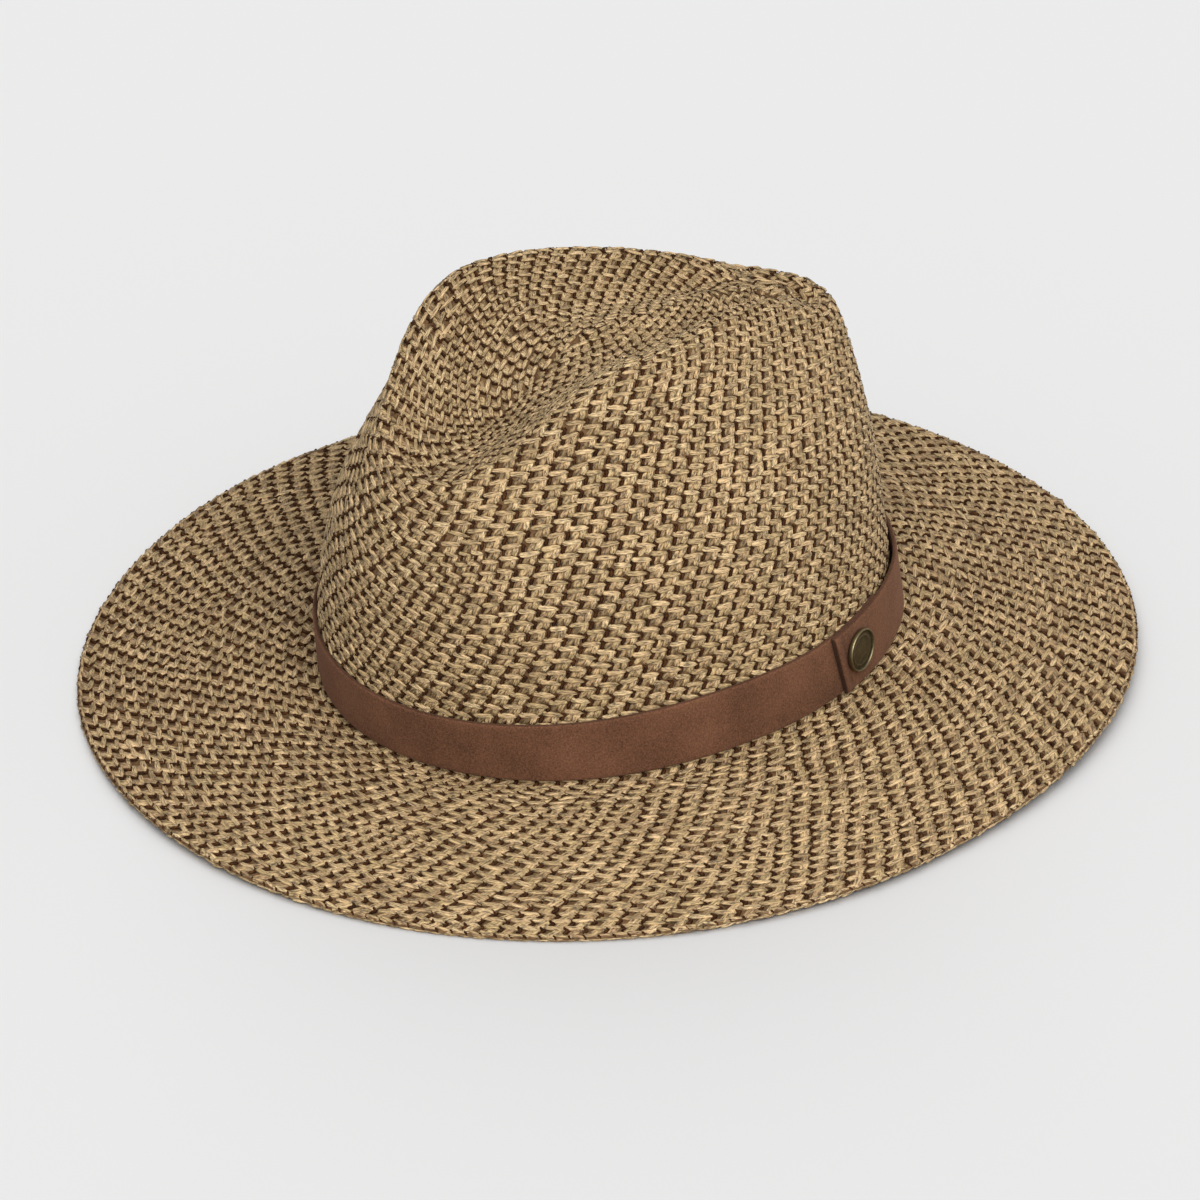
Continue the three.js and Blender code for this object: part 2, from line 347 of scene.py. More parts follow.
turn_line = np.radians(np.arange(0, 360.001, 0.5))
level_line = np.linspace(0, last_row, 1501)
wall_grid = straw_middle(level_line[:, None], turn_line[None, :])
wall_steps = np.linalg.norm(np.diff(wall_grid, axis=0), axis=-1)
between_levels = (level_line[1:] + level_line[:-1]) / 2
on_crest = np.exp(-(((between_levels - crest_level) / crest_width) ** 2))
off_back = 1 - back_looser * np.clip(-np.cos(turn_line), 0, 1) ** 2
packed_steps = wall_steps / (1 - crest_closer * on_crest[:, None] * off_back)
plain_run = np.vstack([np.zeros(len(turn_line)), np.cumsum(wall_steps, axis=0)])
wall_run = np.vstack([np.zeros(len(turn_line)), np.cumsum(packed_steps, axis=0)])
foot_index = int(np.searchsorted(level_line, foot_row))
wall_run = wall_run - wall_run[foot_index]
brim_run = -wall_run[0]
packing = 1 - packed_closer * (1 + np.cos(2 * turn_line))
wall_run = np.where(wall_run > 0, wall_run / packing, wall_run)
crown_run = wall_run[-1]


def round_line(run_of_turn, round_height, keep):
    """A round of stitches, where the wall's run from the foot has the given values: its points, the
    outward directions there, and how much of the wall its stitches cover."""
    turns, levels, covered = [], [], []
    for k in np.nonzero(keep)[0]:
        reach = round_height[k] / 2
        low, high = np.interp(run_of_turn[k] + np.array((-reach, reach)), wall_run[:, k], plain_run[:, k])
        levels.append(np.interp(run_of_turn[k], wall_run[:, k], level_line))
        turns.append(turn_line[k])
        covered.append(max(high - low, least_cover * round_height[k]))
    turns, levels = np.array(turns), np.array(levels)
    return straw_middle(levels, turns), straw_outward(levels, turns), np.array(covered)


courses = []
top_run = crown_run.max()
crown_rounds = int(top_run // crown_round_height)
for k in range(crown_rounds):
    run = top_run - (k + first_round) * crown_round_height
    widened = min(max(0.0, (k - centre_rounds) / widening_rounds), 1.0)
    pitch = centre_pitch + (crown_pitch - centre_pitch) * widened
    even_run = np.full(len(turn_line), run)
    even_height = np.full(len(turn_line), crown_round_height)
    courses.append(("crown", round_line(even_run, even_height, crown_run > run), pitch))
for k in range(brim_rounds):
    share = (k + 0.5) / (brim_rounds + rim_share)
    pitch = crown_pitch + (brim_pitch - crown_pitch) * share
    courses.append(("brim", round_line(-brim_run * share, brim_run / brim_rounds, brim_run > 0), pitch))

chance = np.random.default_rng(11)
stitch_rows = {"crown": [], "brim": []}
last_stitches = None
for part, (line, outs, covered), pitch in courses:
    loop = np.vstack([line, line[:1]])
    loop_outs = np.vstack([outs, outs[:1]])
    heights = np.append(covered, covered[0])
    run = np.concatenate([[0], np.cumsum(np.linalg.norm(np.diff(loop, axis=0), axis=1))])
    around = run[-1]
    if last_stitches is None:
        here = np.arange(round(around / pitch)) * pitch
    else:
        between = last_stitches + step_along * (np.roll(last_stitches, -1, axis=0) - last_stitches)
        fine_run = np.arange(0, around, 0.5)
        fine_loop = np.stack([np.interp(fine_run, run, loop[:, c]) for c in range(3)], axis=-1)
        away = np.linalg.norm(between[:, None] - fine_loop[None], axis=2)
        here = np.sort(fine_run[away.argmin(axis=1)])
    wanted = round(around / pitch)
    while len(here) != wanted:
        gaps = np.diff(np.append(here, here[0] + around))
        if len(here) < wanted:
            wide = gaps.argmax()
            here = np.sort(np.append(here, (here[wide] + gaps[wide] / 2) % around))
        else:
            tight = gaps.argmin()
            middle = (here[tight] + gaps[tight] / 2) % around
            here = np.sort(np.append(np.delete(here, [tight, (tight + 1) % len(here)]), middle))
    for _ in range(evening_passes):
        ahead = np.append(here[1:], here[0] + around)
        behind = np.append(here[-1] - around, here[:-1])
        here = here + evening * ((ahead + behind) / 2 - here)
    here = np.sort(here % around)
    last_stitches = np.stack([np.interp(here, run, loop[:, c]) for c in range(3)], axis=-1)
    stray = chance.normal(0, 1, (2, len(here))) * ((stray_along * pitch,), (stray_across,))
    stitch_rows[part].append((loop, loop_outs, heights, run, here, pitch, stray))
rim_loop = straw_middle(0.0, turn_line)
rim_loop[-1] = rim_loop[0]
rim_outs = rim_loop * (1, 1, 0)
rim_outs = rim_outs / np.linalg.norm(rim_outs, axis=1, keepdims=True) + np.array((0, 0, rim_tilt))
rim_run = np.concatenate([[0], np.cumsum(np.linalg.norm(np.diff(rim_loop, axis=0), axis=1))])
rim_count = round(rim_run[-1] / rim_pitch)
rim_here = np.arange(rim_count) * rim_run[-1] / rim_count
rim_heights = np.full(len(rim_run), crown_round_height)
rim_stray = np.zeros((2, rim_count))
stitch_rows["rim"] = [(rim_loop, rim_outs, rim_heights, rim_run, rim_here, rim_pitch, rim_stray)]


def on_round(loop, values, run, here):
    """Values at distances along a round, which closes on itself."""
    here = here % run[-1]
    return np.stack([np.interp(here, run, values[:, c]) for c in range(3)], axis=-1)


# the direction of a round is taken between two places on it, this far before and behind the stitch
tangent_reach = 0.8
# a leg is made shorter or longer with its round's stitches, within these shares of its size
least_room = 0.6
most_room = 1.2


def lay_legs(part, half, shift, lane, slope, leg_size, side):
    """Places, directions and sizes of one leg of every stitch. half is 1 for the leg nearer the crown's
    top and -1 for the other, shift is along the pitch, lane across the round, slope the leg's lean."""
    spots, alongs, outs, sizes = [], [], [], []
    slope = math.radians(slope)
    for loop, loop_outs, heights, run, here, pitch, stray in stitch_rows[part]:
        at = here + shift * pitch + stray[0]
        height = np.interp(at % run[-1], run, heights)
        centre = on_round(loop, loop, run, at)
        ahead = on_round(loop, loop, run, at + tangent_reach)
        tangent = ahead - on_round(loop, loop, run, at - tangent_reach)
        out = on_round(loop, loop_outs, run, at)
        out /= np.linalg.norm(out, axis=1, keepdims=True)
        tangent -= out * (tangent * out).sum(1, keepdims=True)
        tangent /= np.maximum(np.linalg.norm(tangent, axis=1, keepdims=True), 1e-6)
        across = np.cross(out, tangent)
        spots.append(centre + across * (half * lane * height + stray[1])[:, None])
        alongs.append(tangent * math.cos(slope) - across * (half * math.sin(slope)))
        outs.append(out * side)
        gaps = np.diff(np.append(here, here[0] + run[-1]))
        room = np.clip((gaps + np.roll(gaps, 1)) / 2 / crown_pitch, least_room, most_room)
        share_of_size = np.stack(
            [room, np.sqrt(room) * height / crown_round_height, np.ones(len(room))], axis=-1
        )
        sizes.append(share_of_size * np.array(leg_size) * MM)
    return [np.concatenate(a) for a in (spots, alongs, outs, sizes)]


def stitch_tree():
    """Sets one leg on each point, turned along its strand, with small differences from leg to leg."""
    tree = bpy.data.node_groups.new("lay_stitches", "GeometryNodeTree")
    sockets = (
        ("Points", "INPUT", "NodeSocketGeometry"),
        ("Leg", "INPUT", "NodeSocketObject"),
        ("Height", "INPUT", "NodeSocketFloat"),
        ("Size spread", "INPUT", "NodeSocketFloat"),
        ("Tilt spread", "INPUT", "NodeSocketFloat"),
        ("Tint and shade from", "INPUT", "NodeSocketFloat"),
        ("Tint and shade to", "INPUT", "NodeSocketFloat"),
        ("Seed", "INPUT", "NodeSocketInt"),
        ("Straw", "INPUT", "NodeSocketMaterial"),
        ("Stitches", "OUTPUT", "NodeSocketGeometry"),
    )
    for name, way, kind in sockets:
        tree.interface.new_socket(name=name, in_out=way, socket_type=kind)
    add = tree.nodes.new
    link = tree.links.new

    def socket(group, name):
        return next(s for s in group if s.name == name and s.enabled)

    given = add("NodeGroupInput")
    result = add("NodeGroupOutput")
    leg = add("GeometryNodeObjectInfo")
    link(given.outputs["Leg"], leg.inputs["Object"])
    named = {}
    for name in ("along", "out", "leg_size"):
        named[name] = add("GeometryNodeInputNamedAttribute")
        named[name].data_type = "FLOAT_VECTOR"
        named[name].inputs["Name"].default_value = name
    face_out = add("FunctionNodeAlignRotationToVector")
    face_out.axis = "Z"
    link(socket(named["out"].outputs, "Attribute"), face_out.inputs["Vector"])
    face_along = add("FunctionNodeAlignRotationToVector")
    face_along.axis = "X"
    face_along.pivot_axis = "Z"
    link(face_out.outputs["Rotation"], face_along.inputs["Rotation"])
    link(socket(named["along"].outputs, "Attribute"), face_along.inputs["Vector"])

    tilt = add("FunctionNodeRandomValue")
    tilt.data_type = "FLOAT_VECTOR"
    socket(tilt.inputs, "Min").default_value = (-1, -1, -1)
    socket(tilt.inputs, "Max").default_value = (1, 1, 1)
    link(given.outputs["Seed"], socket(tilt.inputs, "Seed"))
    tilt_amount = add("ShaderNodeVectorMath")
    tilt_amount.operation = "SCALE"
    link(socket(tilt.outputs, "Value"), tilt_amount.inputs[0])
    link(given.outputs["Tilt spread"], tilt_amount.inputs["Scale"])
    tilt_turn = add("FunctionNodeEulerToRotation")
    link(tilt_amount.outputs[0], tilt_turn.inputs[0])
    tilted = add("FunctionNodeRotateRotation")
    tilted.rotation_space = "LOCAL"
    link(face_along.outputs["Rotation"], tilted.inputs["Rotation"])
    link(tilt_turn.outputs["Rotation"], tilted.inputs["Rotate By"])

    later = add("ShaderNodeMath")
    later.operation = "ADD"
    later.inputs[1].default_value = 7.0
    link(given.outputs["Seed"], later.inputs[0])
    spread = add("FunctionNodeRandomValue")
    spread.data_type = "FLOAT_VECTOR"
    socket(spread.inputs, "Min").default_value = (-1, -1, -1)
    socket(spread.inputs, "Max").default_value = (1, 1, 1)
    link(later.outputs[0], socket(spread.inputs, "Seed"))
    spread_amount = add("ShaderNodeVectorMath")
    spread_amount.operation = "SCALE"
    link(socket(spread.outputs, "Value"), spread_amount.inputs[0])
    link(given.outputs["Size spread"], spread_amount.inputs["Scale"])
    one_more = add("ShaderNodeVectorMath")
    one_more.operation = "ADD"
    one_more.inputs[1].default_value = (1, 1, 1)
    link(spread_amount.outputs[0], one_more.inputs[0])
    sized = add("ShaderNodeVectorMath")
    sized.operation = "MULTIPLY"
    link(one_more.outputs[0], sized.inputs[0])
    link(socket(named["leg_size"].outputs, "Attribute"), sized.inputs[1])

    lift = add("ShaderNodeVectorMath")
    lift.operation = "SCALE"
    link(socket(named["out"].outputs, "Attribute"), lift.inputs[0])
    link(given.outputs["Height"], lift.inputs["Scale"])
    raised = add("GeometryNodeSetPosition")
    link(given.outputs["Points"], raised.inputs["Geometry"])
    link(lift.outputs[0], raised.inputs["Offset"])

    instances = add("GeometryNodeInstanceOnPoints")
    link(raised.outputs["Geometry"], instances.inputs["Points"])
    link(leg.outputs["Geometry"], instances.inputs["Instance"])
    link(tilted.outputs["Rotation"], instances.inputs["Rotation"])
    link(sized.outputs[0], instances.inputs["Scale"])

    # a random tint for each leg within its kind's range; the darker ranges of the lower lanes and the fill
    # are painted shade
    tint_and_shade = add("FunctionNodeRandomValue")
    tint_and_shade.data_type = "FLOAT"
    link(given.outputs["Tint and shade from"], socket(tint_and_shade.inputs, "Min"))
    link(given.outputs["Tint and shade to"], socket(tint_and_shade.inputs, "Max"))
    link(given.outputs["Seed"], socket(tint_and_shade.inputs, "Seed"))
    kept = add("GeometryNodeStoreNamedAttribute")
    kept.data_type = "FLOAT"
    kept.domain = "INSTANCE"
    kept.inputs["Name"].default_value = "tint_and_shade"
    link(instances.outputs["Instances"], kept.inputs["Geometry"])
    link(socket(tint_and_shade.outputs, "Value"), socket(kept.inputs, "Value"))
    real = add("GeometryNodeRealizeInstances")
    link(kept.outputs["Geometry"], real.inputs["Geometry"])
    covered = add("GeometryNodeSetMaterial")
    link(real.outputs["Geometry"], covered.inputs["Geometry"])
    link(given.outputs["Straw"], covered.inputs["Material"])
    link(covered.outputs["Geometry"], result.inputs["Stitches"])
    return tree


def leaf(name, stations, section):
    """A unit strand of straw, pointed at both ends. stations are (along, half width, half height, lift)."""
    points = [(stations[0][0], 0.0, stations[0][3])]
    for x, wide, high, lift in stations[1:-1]:
        points += [(x, wide * a, lift + high * b) for a, b in section]
    points.append((stations[-1][0], 0.0, stations[-1][3]))
    n = len(section)
    faces = []
    coords = [(0.0, 0.5)] + [(s[0] + 0.5, k / n) for s in stations[1:-1] for k in range(n)] + [(1.0, 0.5)]
    rings = len(stations) - 2
    for k in range(n):
        j = (k + 1) % n
        faces.append((0, 1 + j, 1 + k))
        for r in range(rings - 1):
            a = 1 + r * n
            faces.append((a + k, a + j, a + n + j, a + n + k))
        a = 1 + (rings - 1) * n
        faces.append((a + k, a + j, len(points) - 1))
    mesh = bpy.data.meshes.new(name)
    mesh.from_pydata(points, [], faces)
    mesh.polygons.foreach_set("use_smooth", [True] * len(mesh.polygons))
    grain = mesh.uv_layers.new(name="grain")
    for spot in mesh.loops:
        grain.data[spot.index].uv = coords[spot.vertex_index]
    made = bpy.data.objects.new(name, mesh)
    bpy.context.scene.collection.objects.link(made)
    return made


pale_leaf = leaf(
    "pale_leaf",
    (
        (-0.5, 0.0, 0.0, -0.5),
        (-0.34, 0.44, 0.44, -0.08),
        (0.0, 0.5, 0.5, 0.0),
        (0.3, 0.34, 0.42, 0.0),
        (0.52, 0.0, 0.0, -0.3),
    ),
    ((1.0, -0.2), (0.55, 0.95), (0.05, 0.62), (-0.5, 1.0), (-1.0, -0.2)),
)
oval_leaf = leaf(
    "oval_leaf",
    (
        (-0.5, 0.0, 0.0, -0.5),
        (-0.42, 0.36, 0.4, -0.12),
        (0.0, 0.5, 0.5, 0.0),
        (0.4, 0.4, 0.44, -0.05),
        (0.5, 0.0, 0.0, -0.4),
    ),
    ((1.0, -0.2), (0.55, 0.95), (0.05, 0.66), (-0.5, 1.0), (-1.0, -0.2)),
)
dark_leaf = leaf(
    "dark_leaf",
    (
        (-0.5, 0.0, 0.0, -0.3),
        (-0.26, 0.5, 0.5, 0.0),
        (0.26, 0.48, 0.5, 0.0),
        (0.5, 0.0, 0.0, -0.3),
    ),
    ((1.0, -0.3), (0.1, 1.0), (-1.0, -0.3)),
)

pale_straw = bpy.data.materials.new("pale_straw")
pale_straw.use_nodes = True
nodes = pale_straw.node_tree.nodes
links = pale_straw.node_tree.links
bsdf = nodes["Principled BSDF"]
bsdf.inputs["Roughness"].default_value = 0.55
bsdf.inputs["Specular IOR Level"].default_value = 0.35
leg_tint_and_shade = nodes.new("ShaderNodeAttribute")
leg_tint_and_shade.attribute_name = "tint_and_shade"
tint_and_shade_ramp = nodes.new("ShaderNodeValToRGB")
# tints from dark to light straw; the dark end also serves as painted shade on the recessed lower lanes and
# the fill
tint_and_shade_stops = (
    (0.0, (0.19, 0.12, 0.056)),
    (0.2, (0.25, 0.165, 0.077)),
    (0.4, (0.335, 0.215, 0.108)),
    (0.6, (0.40, 0.28, 0.135)),
    (0.8, (0.49, 0.335, 0.175)),
    (1.0, (0.57, 0.42, 0.225)),
)
while len(tint_and_shade_ramp.color_ramp.elements) < len(tint_and_shade_stops):
    tint_and_shade_ramp.color_ramp.elements.new(0.5)
for stop, (position, colour) in zip(tint_and_shade_ramp.color_ramp.elements, tint_and_shade_stops):
    stop.position = position
    stop.color = (*colour, 1.0)
grain = nodes.new("ShaderNodeUVMap")
grain.uv_map = "grain"
fibre_scale = nodes.new("ShaderNodeMapping")
fibre_scale.inputs["Scale"].default_value = (1.5, 3.4, 1.0)
fibres = nodes.new("ShaderNodeTexNoise")
fibres.noise_dimensions = "4D"
fibres.inputs["Scale"].default_value = 2.2
fibres.inputs["Detail"].default_value = 4.0
fibres.inputs["Roughness"].default_value = 0.65
tint_far = nodes.new("ShaderNodeMath")
tint_far.operation = "MULTIPLY"
tint_far.inputs[1].default_value = 37.0
# the fibre streaks are partly the paper's own grain and partly painted shade between the twisted strands,
# with painted highlight on them that lifts the colour up to half again over its tint
fibre_grain_shade_highlight = nodes.new("ShaderNodeMapRange")
fibre_grain_shade_highlight.inputs["From Min"].default_value = 0.37
fibre_grain_shade_highlight.inputs["From Max"].default_value = 0.61
fibre_grain_shade_highlight.inputs["To Min"].default_value = 0.15
fibre_grain_shade_highlight.inputs["To Max"].default_value = 1.55
fibred_and_shaded = nodes.new("ShaderNodeVectorMath")
fibred_and_shaded.operation = "SCALE"
ridges = nodes.new("ShaderNodeBump")
ridges.inputs["Strength"].default_value = 1.0
ridges.inputs["Distance"].default_value = 0.0005
links.new(leg_tint_and_shade.outputs["Fac"], tint_and_shade_ramp.inputs["Fac"])
links.new(leg_tint_and_shade.outputs["Fac"], tint_far.inputs[0])
links.new(grain.outputs["UV"], fibre_scale.inputs["Vector"])
links.new(fibre_scale.outputs["Vector"], fibres.inputs["Vector"])
links.new(tint_far.outputs[0], fibres.inputs["W"])
links.new(fibres.outputs["Fac"], fibre_grain_shade_highlight.inputs["Value"])
links.new(tint_and_shade_ramp.outputs["Color"], fibred_and_shaded.inputs[0])
links.new(fibre_grain_shade_highlight.outputs["Result"], fibred_and_shaded.inputs["Scale"])
links.new(fibred_and_shaded.outputs[0], bsdf.inputs["Base Color"])
links.new(fibres.outputs["Fac"], ridges.inputs["Height"])
links.new(ridges.outputs["Normal"], bsdf.inputs["Normal"])

brown_straw = pale_straw.copy()
brown_straw.name = "brown_straw"
brown_bsdf = brown_straw.node_tree.nodes["Principled BSDF"]
brown_bsdf.inputs["Roughness"].default_value = 0.9
brown_bsdf.inputs["Specular IOR Level"].default_value = 0.1
brown_tints = brown_straw.node_tree.nodes["Color Ramp"]
brown_stops = (
    (0.046, 0.017, 0.0055),
    (0.063, 0.024, 0.008),
    (0.039, 0.014, 0.005),
    (0.076, 0.029, 0.0095),
    (0.051, 0.019, 0.006),
    (0.086, 0.034, 0.0115),
)
for stop, colour in zip(brown_tints.color_ramp.elements, brown_stops):
    stop.color = (*colour, 1.0)

laying = stitch_tree()
size_spread = 0.11
tilt_spread = 0.15
identifiers = {s.name: s.identifier for s in laying.interface.items_tree if s.in_out == "INPUT"}
# each kind: name, part of the hat, side, height above the wall's middle, leaf, straw, the range of its
# tints, seed, and its legs, which are (half, shift, lane, slope, (length, width, height)). The tints are
# the straw's own random tone together with painted shade: the recessed lower lanes and the fill take darker
# ranges than the upper lanes.
stitch_kinds = (
    (
        "crown_upper", "crown", 1, 0.85, pale_leaf, pale_straw, (0.5, 0.95), 1,
        ((1, 0.0, 0.27, 11, (7.9, 2.4, 1.3)),),
    ),
    (
        "crown_lower", "crown", 1, 0.62, oval_leaf, pale_straw, (0.45, 0.95), 2,
        ((-1, 0.12, 0.2, 56, (4.2, 2.9, 1.5)),),
    ),
    (
        "crown_fill", "crown", 1, 0.3, dark_leaf, pale_straw, (0.0, 0.7), 3,
        ((-1, -0.2, 0.22, 40, (5.6, 3.8, 1.3)),),
    ),
    (
        "crown_brown", "crown", 1, 0.86, dark_leaf, brown_straw, (0.0, 1.0), 4,
        ((1, 0.5, 0.17, 30, (2.7, 1.0, 1.0)), (-1, 0.48, 0.15, 60, (3.5, 1.45, 1.1))),
    ),
    (
        "brim_upper", "brim", 1, 0.82, pale_leaf, pale_straw, (0.45, 0.92), 5,
        ((1, 0.0, 0.27, 10, (8.2, 2.4, 1.25)),),
    ),
    (
        "brim_lower", "brim", 1, 0.5, oval_leaf, pale_straw, (0.3, 0.85), 6,
        ((-1, 0.0, 0.2, 38, (7.2, 3.8, 1.3)),),
    ),
    (
        "brim_brown", "brim", 1, 0.92, dark_leaf, brown_straw, (0.0, 1.0), 7,
        ((1, 0.45, 0.2, 50, (2.7, 1.2, 1.0)), (-1, 0.46, 0.17, 48, (3.4, 1.6, 1.1))),
    ),
    (
        "brim_rim", "rim", 1, -0.5, pale_leaf, pale_straw, (0.3, 1.0), 8,
        ((1, 0.0, 0.1, 6, (11.5, 2.4, 1.6)), (-1, 0.5, 0.1, 6, (11.5, 2.4, 1.6))),
    ),
    (
        "rim_brown", "rim", 1, 0.25, dark_leaf, brown_straw, (0.0, 1.0), 11,
        ((1, 0.5, 0.1, 50, (3.0, 1.1, 0.8)),),
    ),
    (
        "crown_inside", "crown", -1, 0.4, dark_leaf, pale_straw, (0.2, 0.9), 9,
        ((1, 0.0, 0.26, 20, (6.8, 2.6, 1.2)), (-1, 0.03, 0.25, 38, (6.0, 3.0, 1.2))),
    ),
    (
        "brim_under", "brim", -1, 0.4, dark_leaf, pale_straw, (0.2, 0.9), 10,
        ((1, 0.0, 0.26, 20, (6.8, 2.6, 1.2)), (-1, 0.03, 0.25, 38, (6.0, 3.0, 1.2))),
    ),
)
for name, part, side, lift, leaf_used, straw, tint_and_shade_range, seed, legs in stitch_kinds:
    laid_legs = [lay_legs(part, *leg, side) for leg in legs]
    spots, alongs, outs, sizes = (np.concatenate(column) for column in zip(*laid_legs))
    laid = plain_object(name, spots, [])
    for attribute, values in (("along", alongs), ("out", outs), ("leg_size", sizes)):
        kept = laid.data.attributes.new(attribute, "FLOAT_VECTOR", "POINT")
        kept.data.foreach_set("vector", values.astype(np.float32).ravel())
    layer = laid.modifiers.new("stitches", "NODES")
    layer.node_group = laying
    layer[identifiers["Leg"]] = leaf_used
    layer[identifiers["Height"]] = lift * MM
    layer[identifiers["Size spread"]] = size_spread
    layer[identifiers["Tilt spread"]] = tilt_spread
    layer[identifiers["Tint and shade from"]] = tint_and_shade_range[0]
    layer[identifiers["Tint and shade to"]] = tint_and_shade_range[1]
    layer[identifiers["Seed"]] = seed
    layer[identifiers["Straw"]] = straw
    ready = laid.evaluated_get(bpy.context.evaluated_depsgraph_get())
    stitched = bpy.data.meshes.new_from_object(ready)
    laid.modifiers.remove(layer)
    laid.data = stitched
    corners = np.empty(len(stitched.vertices) * 3, np.float32)
    stitched.vertices.foreach_get("co", corners)
    corners[2::3] = np.maximum(corners[2::3], 0)
    stitched.vertices.foreach_set("co", corners)
    stitched.update()
    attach(laid, "root")
for leg in (pale_leaf, oval_leaf, dark_leaf):
    bpy.data.objects.remove(leg)


# Hat band: one strip of brown suede laid round the foot of the crown. Its outer end is folded under
# along a slanted line and lies over the under end on the wearer's left, where the stud holds it.
band_thick = 1.5
band_clear = 1.6
band_gap = 0.3
band_low = 0.05
under_end = 123.75
fold_low = 108.3
fold_high = 105.2
climb_start = 157.5
climb_end = 135.0
fold_wide = 1.6
fold_thicker = 0.55
outer_higher = 0.03
# the last degrees of the fold are rounded off down to this share of its thickness, and its lean fades out
end_round = 0.75
end_thin = 0.35
lean_fades = 9.0


def band_points(turn, up, out):
    """Points of the band in millimetres: up is the share of its height, out the distance from the straw."""
    near = 0.02
    ends = []
    for row in (foot_row, band_top_row):
        along = straw_middle(row, turn + near) - straw_middle(row, turn - near)
        level = np.stack([along[..., 1], -along[..., 0], 0 * along[..., 0]], axis=-1)
        level /= np.linalg.norm(level, axis=-1, keepdims=True)
        ends.append(straw_middle(row, turn) + level * np.asarray(out)[..., None])
    return ends[0] + (ends[1] - ends[0]) * np.asarray(up)[..., None]


def eased(value, start, end):
    """0 before start, 1 after end, smooth between."""
    t = np.clip((value - start) / (end - start), 0, 1)
    return t * t * (3 - 2 * t)


# the band is drawn in lines across it, close together near its folded end
fold_zone = 3.3
line_step = 1.2
fold_lines = 27
band_lines = np.concatenate(
    [
        np.arange(under_end, fold_low + fold_zone + 1 - 360, -line_step),
        np.linspace(fold_zone, 0, fold_lines) + fold_low - 360,
    ]
)
# its cross-section, from the lower edge up the outer face and back down the inner one: the share of the
# height and the share of the thickness
edge_round = (
    (0.0, 0.0), (0.0, 0.55), (0.008, 0.82), (0.03, 0.96), (0.07, 1.0), (0.3, 1.0), (0.5, 1.0), (0.7, 1.0),
    (0.93, 1.0), (0.97, 0.96), (0.992, 0.82), (1.0, 0.55), (1.0, 0.0), (0.7, 0.0), (0.3, 0.0),
)
band_rings = []
band_painted_shade = []
for degrees in band_lines:
    on_top = eased(-degrees, 360 - climb_start, 360 - climb_end)
    before = degrees - (fold_low - 360)
    near_end = 1 - eased(before, fold_wide * 0.5, fold_wide * 1.5)
    rounded = math.sqrt(max(0.0, 1 - max(0.0, 1 - before / end_round) ** 2)) if before < end_round else 1.0
    lean = (fold_high - fold_low) * (1 - eased(before, 0.0, lean_fades))
    thick = (band_thick + fold_thicker * near_end) * (end_thin + (1 - end_thin) * rounded)
    inner = band_clear + on_top * (band_thick + band_gap) + band_thick * 0.3 * (1 - rounded)
    ups = np.array([band_low + (1 + outer_higher * on_top - band_low) * u for u, _ in edge_round])
    offs = np.array([inner + thick * w for _, w in edge_round])
    turns = np.radians(degrees + lean * (ups - band_low))
    band_rings.append(band_points(turns, ups, offs))
    # painted shade: a dark strip at the folded end's step and a fainter one just behind the fold. The
    # band's inner face and the lower halves of its edges, where it meets the straw, are darkened part way.
    shade_behind_fold = 0.35 * math.exp(-(((before - 2.0) / 0.45) ** 2))
    shade_here = max(1 - eased(before, 0.1, 0.36), shade_behind_fold)
    band_painted_shade += [max(shade_here, 0.5 if w < 0.6 else 0.0) for _, w in edge_round]
around = len(edge_round)
band_faces = []
for r in range(len(band_rings) - 1):
    for k in range(around):
        j = (k + 1) % around
        a = r * around
        band_faces.append((a + k, a + j, a + around + j, a + around + k))
band_faces.append(tuple(reversed(range(around))))
last = (len(band_rings) - 1) * around
band_faces.append(tuple(last + k for k in range(around)))
band_mesh_points = np.concatenate(band_rings)
suede_band = plain_object("suede_band", band_mesh_points, band_faces)
kept = suede_band.data.attributes.new("fold_and_edge_shade", "FLOAT", "POINT")
kept.data.foreach_set("value", np.array(band_painted_shade, np.float32))

suede = bpy.data.materials.new("brown_suede")
suede.use_nodes = True
nodes = suede.node_tree.nodes
links = suede.node_tree.links
bsdf = nodes["Principled BSDF"]
bsdf.inputs["Roughness"].default_value = 0.92
bsdf.inputs["Specular IOR Level"].default_value = 0.15
bsdf.inputs["Sheen Weight"].default_value = 0.12
bsdf.inputs["Sheen Roughness"].default_value = 0.5
bsdf.inputs["Sheen Tint"].default_value = (0.8, 0.45, 0.3, 1.0)
place = nodes.new("ShaderNodeTexCoord")
brushing = nodes.new("ShaderNodeTexNoise")
brushing.inputs["Scale"].default_value = 45.0
brushing.inputs["Detail"].default_value = 3.0
nap = nodes.new("ShaderNodeTexNoise")
nap.inputs["Scale"].default_value = 1700.0
nap.inputs["Detail"].default_value = 3.0
both = nodes.new("ShaderNodeMix")
both.data_type = "FLOAT"
both.inputs["Factor"].default_value = 0.6
suede_tone = nodes.new("ShaderNodeValToRGB")
suede_tone.color_ramp.elements[0].position = 0.36
suede_tone.color_ramp.elements[0].color = (0.066, 0.028, 0.014, 1.0)
suede_tone.color_ramp.elements[1].position = 0.64
suede_tone.color_ramp.elements[1].color = (0.175, 0.077, 0.041, 1.0)
